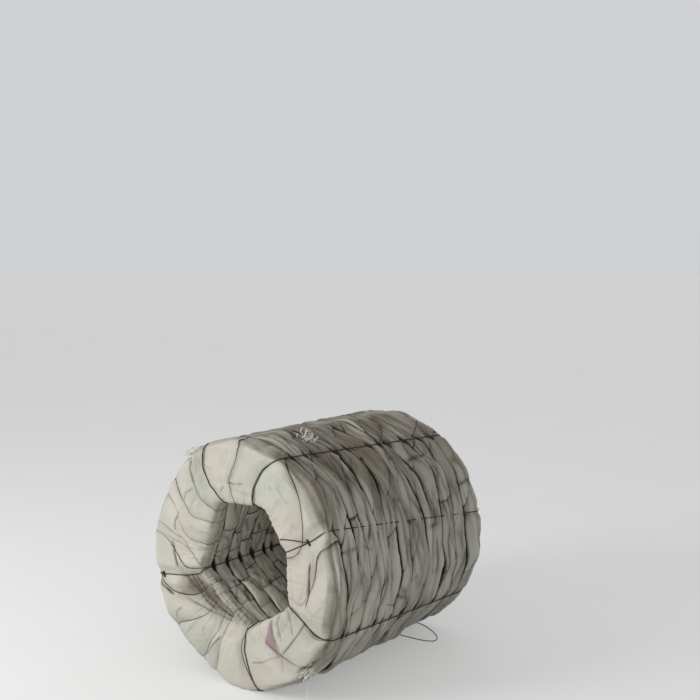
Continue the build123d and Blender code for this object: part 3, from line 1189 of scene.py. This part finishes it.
def over_coil(route, number, steps):
    """Points of a tie laid over the section of the first or the last coil."""
    marks = tie_marks(route, number)
    return off_coil(number, np.interp(steps, marks[:, 0], marks[:, 1]), np.array(steps), wire_gap)


def tie_run(route):
    """One tie's loop: over the front coil, straight outside, over the last and back inside."""
    front = over_coil(route, 1, np.linspace(0.02, 0.49, 22))
    back = over_coil(route, last_coil, np.linspace(0.51, 0.98, 22))
    shares = (0.02, 0.25, 0.5, 0.75, 0.98)
    outside = [front[-1].lerp(back[0], share) for share in shares]
    inside = [back[-1].lerp(front[0], share) for share in shares]
    return front + outside + back + inside + front[:1]


def knot_place(route):
    """Where a tie's knot is, the way of its wire there and the way out of the bundle."""
    if route.side == "outside":
        front, back = over_coil(route, 1, [0.49])[0], over_coil(route, last_coil, [0.51])[0]
        here = front.lerp(back, route.share)
        out = polar(seat_angle(route, here.y), 1, 0) - Vector((0, 0, axis_height))
        return here, Vector((0, 1, 0)), out
    number, first, out_y = (1, 0.08, -1) if route.side == "front" else (last_coil, 0.56, 1)
    step = first + route.share * 0.36
    here, there = over_coil(route, number, [step, step + 0.01])
    return here, (there - here).normalized(), Vector((0, out_y, 0))


def knot_runs(route):
    """The twisted ends of a tie: two strands wound round each other, with cut tails."""
    here, way, out = knot_place(route)
    across = way.cross(out).normalized()
    middle = here + out * wire_radius
    runs = []
    for first in (0, pi):
        twist = []
        for step in range(knot_steps + 1):
            share = step / knot_steps
            spin = first + knot_turns * 2 * pi * share
            lean = knot_length * (share - 0.5)
            twist.append(
                middle + across * lean + way * (wire_radius * cos(spin) + 0.12 * lean)
                + out * (wire_radius * sin(spin) + 4 * lean**2)
            )
        runs.append(twist)
    return runs


def second_strand(route):
    """The second strand of the right tie, from its knot over the face into the bore."""
    here, _, out = knot_place(route)
    step, angle = np.array(second_strand_marks).T
    points = [here + out * 0.001, *off_coil(1, angle, step, strand_gap)]
    points.append(points[-1] + Vector((0, 0.10, 0.002)))
    return points


def floor_run(route):
    """The slack of the lower tie, drawn out into a flat loop on the floor."""
    start, finish = (
        polar(seat_angle(route, along), seat_radius + wire_gap, along)
        for along in (floor_loop[0][1] - loop_lead, floor_loop[-1][1] + loop_lead)
    )
    corners = [Vector((start.x + x, along, wire_radius)) for x, along in floor_loop]
    return [start, *corners, finish]


def seen_strength(tree, everywhere, more_when_seen):
    """A strength that is higher where the camera, a mirror or glass looks straight at it."""
    path = add_node(tree, "ShaderNodeLightPath").outputs
    seen = math_node(tree, "ADD", path["Is Camera Ray"], path["Is Glossy Ray"])
    seen = math_node(tree, "ADD", seen, path["Is Transmission Ray"], clamp=True)
    return math_node(tree, "MULTIPLY_ADD", seen, more_when_seen, everywhere)


def floor_material(floor_colour):
    material, tree, shader, place = new_material("pale floor")
    darker = colour([0.95 * c for c in floor_colour])
    base = mix_colours(tree, noise_node(tree, place, 3.0, 5.0), colour(floor_colour), darker)
    plug(tree, shader, {
        "Base Color": base, "Roughness": 0.8, "Emission Color": (1, 1, 0.99, 1),
        "Emission Strength": seen_strength(tree, 0.0, 0.30),
    })
    return material


def add_lamp(name, place, size, power):
    lamp = bpy.data.lights.new(name, "AREA")
    lamp.shape = "DISK"
    lamp.size = size
    lamp.energy = power
    holder = add_object(name, lamp)
    holder.location = place
    way = Vector(lamp_aim) - Vector(place)
    holder.rotation_euler = way.to_track_quat("-Z", "Y").to_euler()


class BUNDLE_OT_set_studio(bpy.types.Operator):
    """Lay the pale floor, set the lamps and place the camera"""

    bl_idname = "bundle.set_studio"
    bl_label = "Set Studio"

    def execute(self, context):
        scene = context.scene
        scene.view_settings.view_transform = "Standard"
        bpy.ops.object.select_all(action="DESELECT")
        bpy.ops.mesh.primitive_plane_add(size=200, location=(0, 0, 0))
        floor = context.object
        floor.name = "floor"
        floor.data.materials.append(floor_material(scene.bundle_colours.floor))
        scene.world = bpy.data.worlds.new("studio")
        scene.world.use_nodes = True
        tree = scene.world.node_tree
        background = tree.nodes["Background"]
        background.inputs["Color"].default_value = (0.97, 0.98, 1.0, 1)
        tree.links.new(seen_strength(tree, 0.5, 0.15), background.inputs["Strength"])
        for lamp in lamps:
            add_lamp(*lamp)
        lens = bpy.data.cameras.new("photo view")
        lens.sensor_width = sensor_width
        lens.lens = sensor_width * focal_length / photo_width
        lens.clip_start, lens.clip_end = 0.05, 100
        camera = add_object("photo view", lens)
        camera.location = camera_place
        camera.rotation_euler = (pi / 2 - camera_pitch, 0, camera_heading)
        scene.camera = camera
        return {"FINISHED"}


class BUNDLE_OT_pack_coils(bpy.types.Operator):
    """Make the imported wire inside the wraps"""

    bl_idname = "bundle.pack_coils"
    bl_label = "Pack Coils"

    def execute(self, context):
        material = wire_material("zinc-coated wire", zinc, 0.42)
        for number in range(1, last_coil + 1):
            core = packed_coil(number, material)
            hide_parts(f"coil_{number:02d}")
            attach(core, "root")
        return {"FINISHED"}


class BUNDLE_OT_wind_strips(bpy.types.Operator):
    """Wind the woven strip round each coil"""

    bl_idname = "bundle.wind_strips"
    bl_label = "Wind Strips"

    def execute(self, context):
        for number, name in enumerate(wrap_names, 1):
            surfaces[number] = coil_surface(name)
        sizes = context.scene.bundle_sizes
        material = strip_material(context.scene.bundle_colours)
        for number, name in enumerate(wrap_names, 1):
            points, faces, uvs, values, turns = wound_strip(number, sizes)
            strip = mesh_object(f"woven_{name}", points, faces, uvs, values)
            strip.data.materials.append(material)
            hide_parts(name)
            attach(strip, "root")
        return {"FINISHED"}


class BUNDLE_OT_fray_ends(bpy.types.Operator):
    """Put the frayed tape ends on the strips"""

    bl_idname = "bundle.fray_ends"
    bl_label = "Fray Ends"

    def execute(self, context):
        points, faces = frayed_tapes()
        points[:, 2] = np.maximum(points[:, 2], floor_gap)
        ends = mesh_object("frayed_ends", points, faces, np.zeros((len(points), 2)), {})
        ends.data.materials.append(tape_material())
        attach(ends, "root")
        return {"FINISHED"}


class BUNDLE_OT_bend_ties(bpy.types.Operator):
    """Bend the tie wires through the bore and round the coils"""

    bl_idname = "bundle.bend_ties"
    bl_label = "Bend Tie Wires"

    def execute(self, context):
        material = wire_material("annealed iron", context.scene.bundle_colours.wire, 0.5)
        for name, route in tie_routes.items():
            runs = [tie_run(route)] + knot_runs(route)
            if name == "tie_wire_under":
                runs.append(floor_run(route))
            if name == "tie_wire_right":
                runs.append(second_strand(route))
            if name == "tie_wire_upper_right":
                runs += [[polar(a, r, y) for y, a, r in strand] for strand in top_strands]
            tie = wire_curve(f"bent_{name}", runs, material)
            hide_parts(name)
            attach(tie, "root")
        return {"FINISHED"}


class BUNDLE_PT_tools(bpy.types.Panel):
    """Lists the steps that dress the bundle"""

    bl_label = "Wire Coil Bundle"
    bl_idname = "BUNDLE_PT_tools"
    bl_space_type = "VIEW_3D"
    bl_region_type = "UI"
    bl_category = "Bundle"

    def draw(self, context):
        for step in steps_in_order:
            self.layout.operator(step.bl_idname)


steps_in_order = [
    BUNDLE_OT_set_studio,
    BUNDLE_OT_pack_coils,
    BUNDLE_OT_wind_strips,
    BUNDLE_OT_fray_ends,
    BUNDLE_OT_bend_ties,
]
classes = [BundleSizes, BundleColours, *steps_in_order, BUNDLE_PT_tools]


def register():
    for cls in classes:
        bpy.utils.register_class(cls)
    bpy.types.Scene.bundle_sizes = PointerProperty(type=BundleSizes)
    bpy.types.Scene.bundle_colours = PointerProperty(type=BundleColours)


def unregister():
    del bpy.types.Scene.bundle_colours
    del bpy.types.Scene.bundle_sizes
    for cls in reversed(classes):
        bpy.utils.unregister_class(cls)


def main():
    register()
    bpy.ops.bundle.set_studio()
    bpy.ops.bundle.pack_coils()
    bpy.ops.bundle.wind_strips()
    bpy.ops.bundle.fray_ends()
    bpy.ops.bundle.bend_ties()


if __name__ == "__main__":
    main()
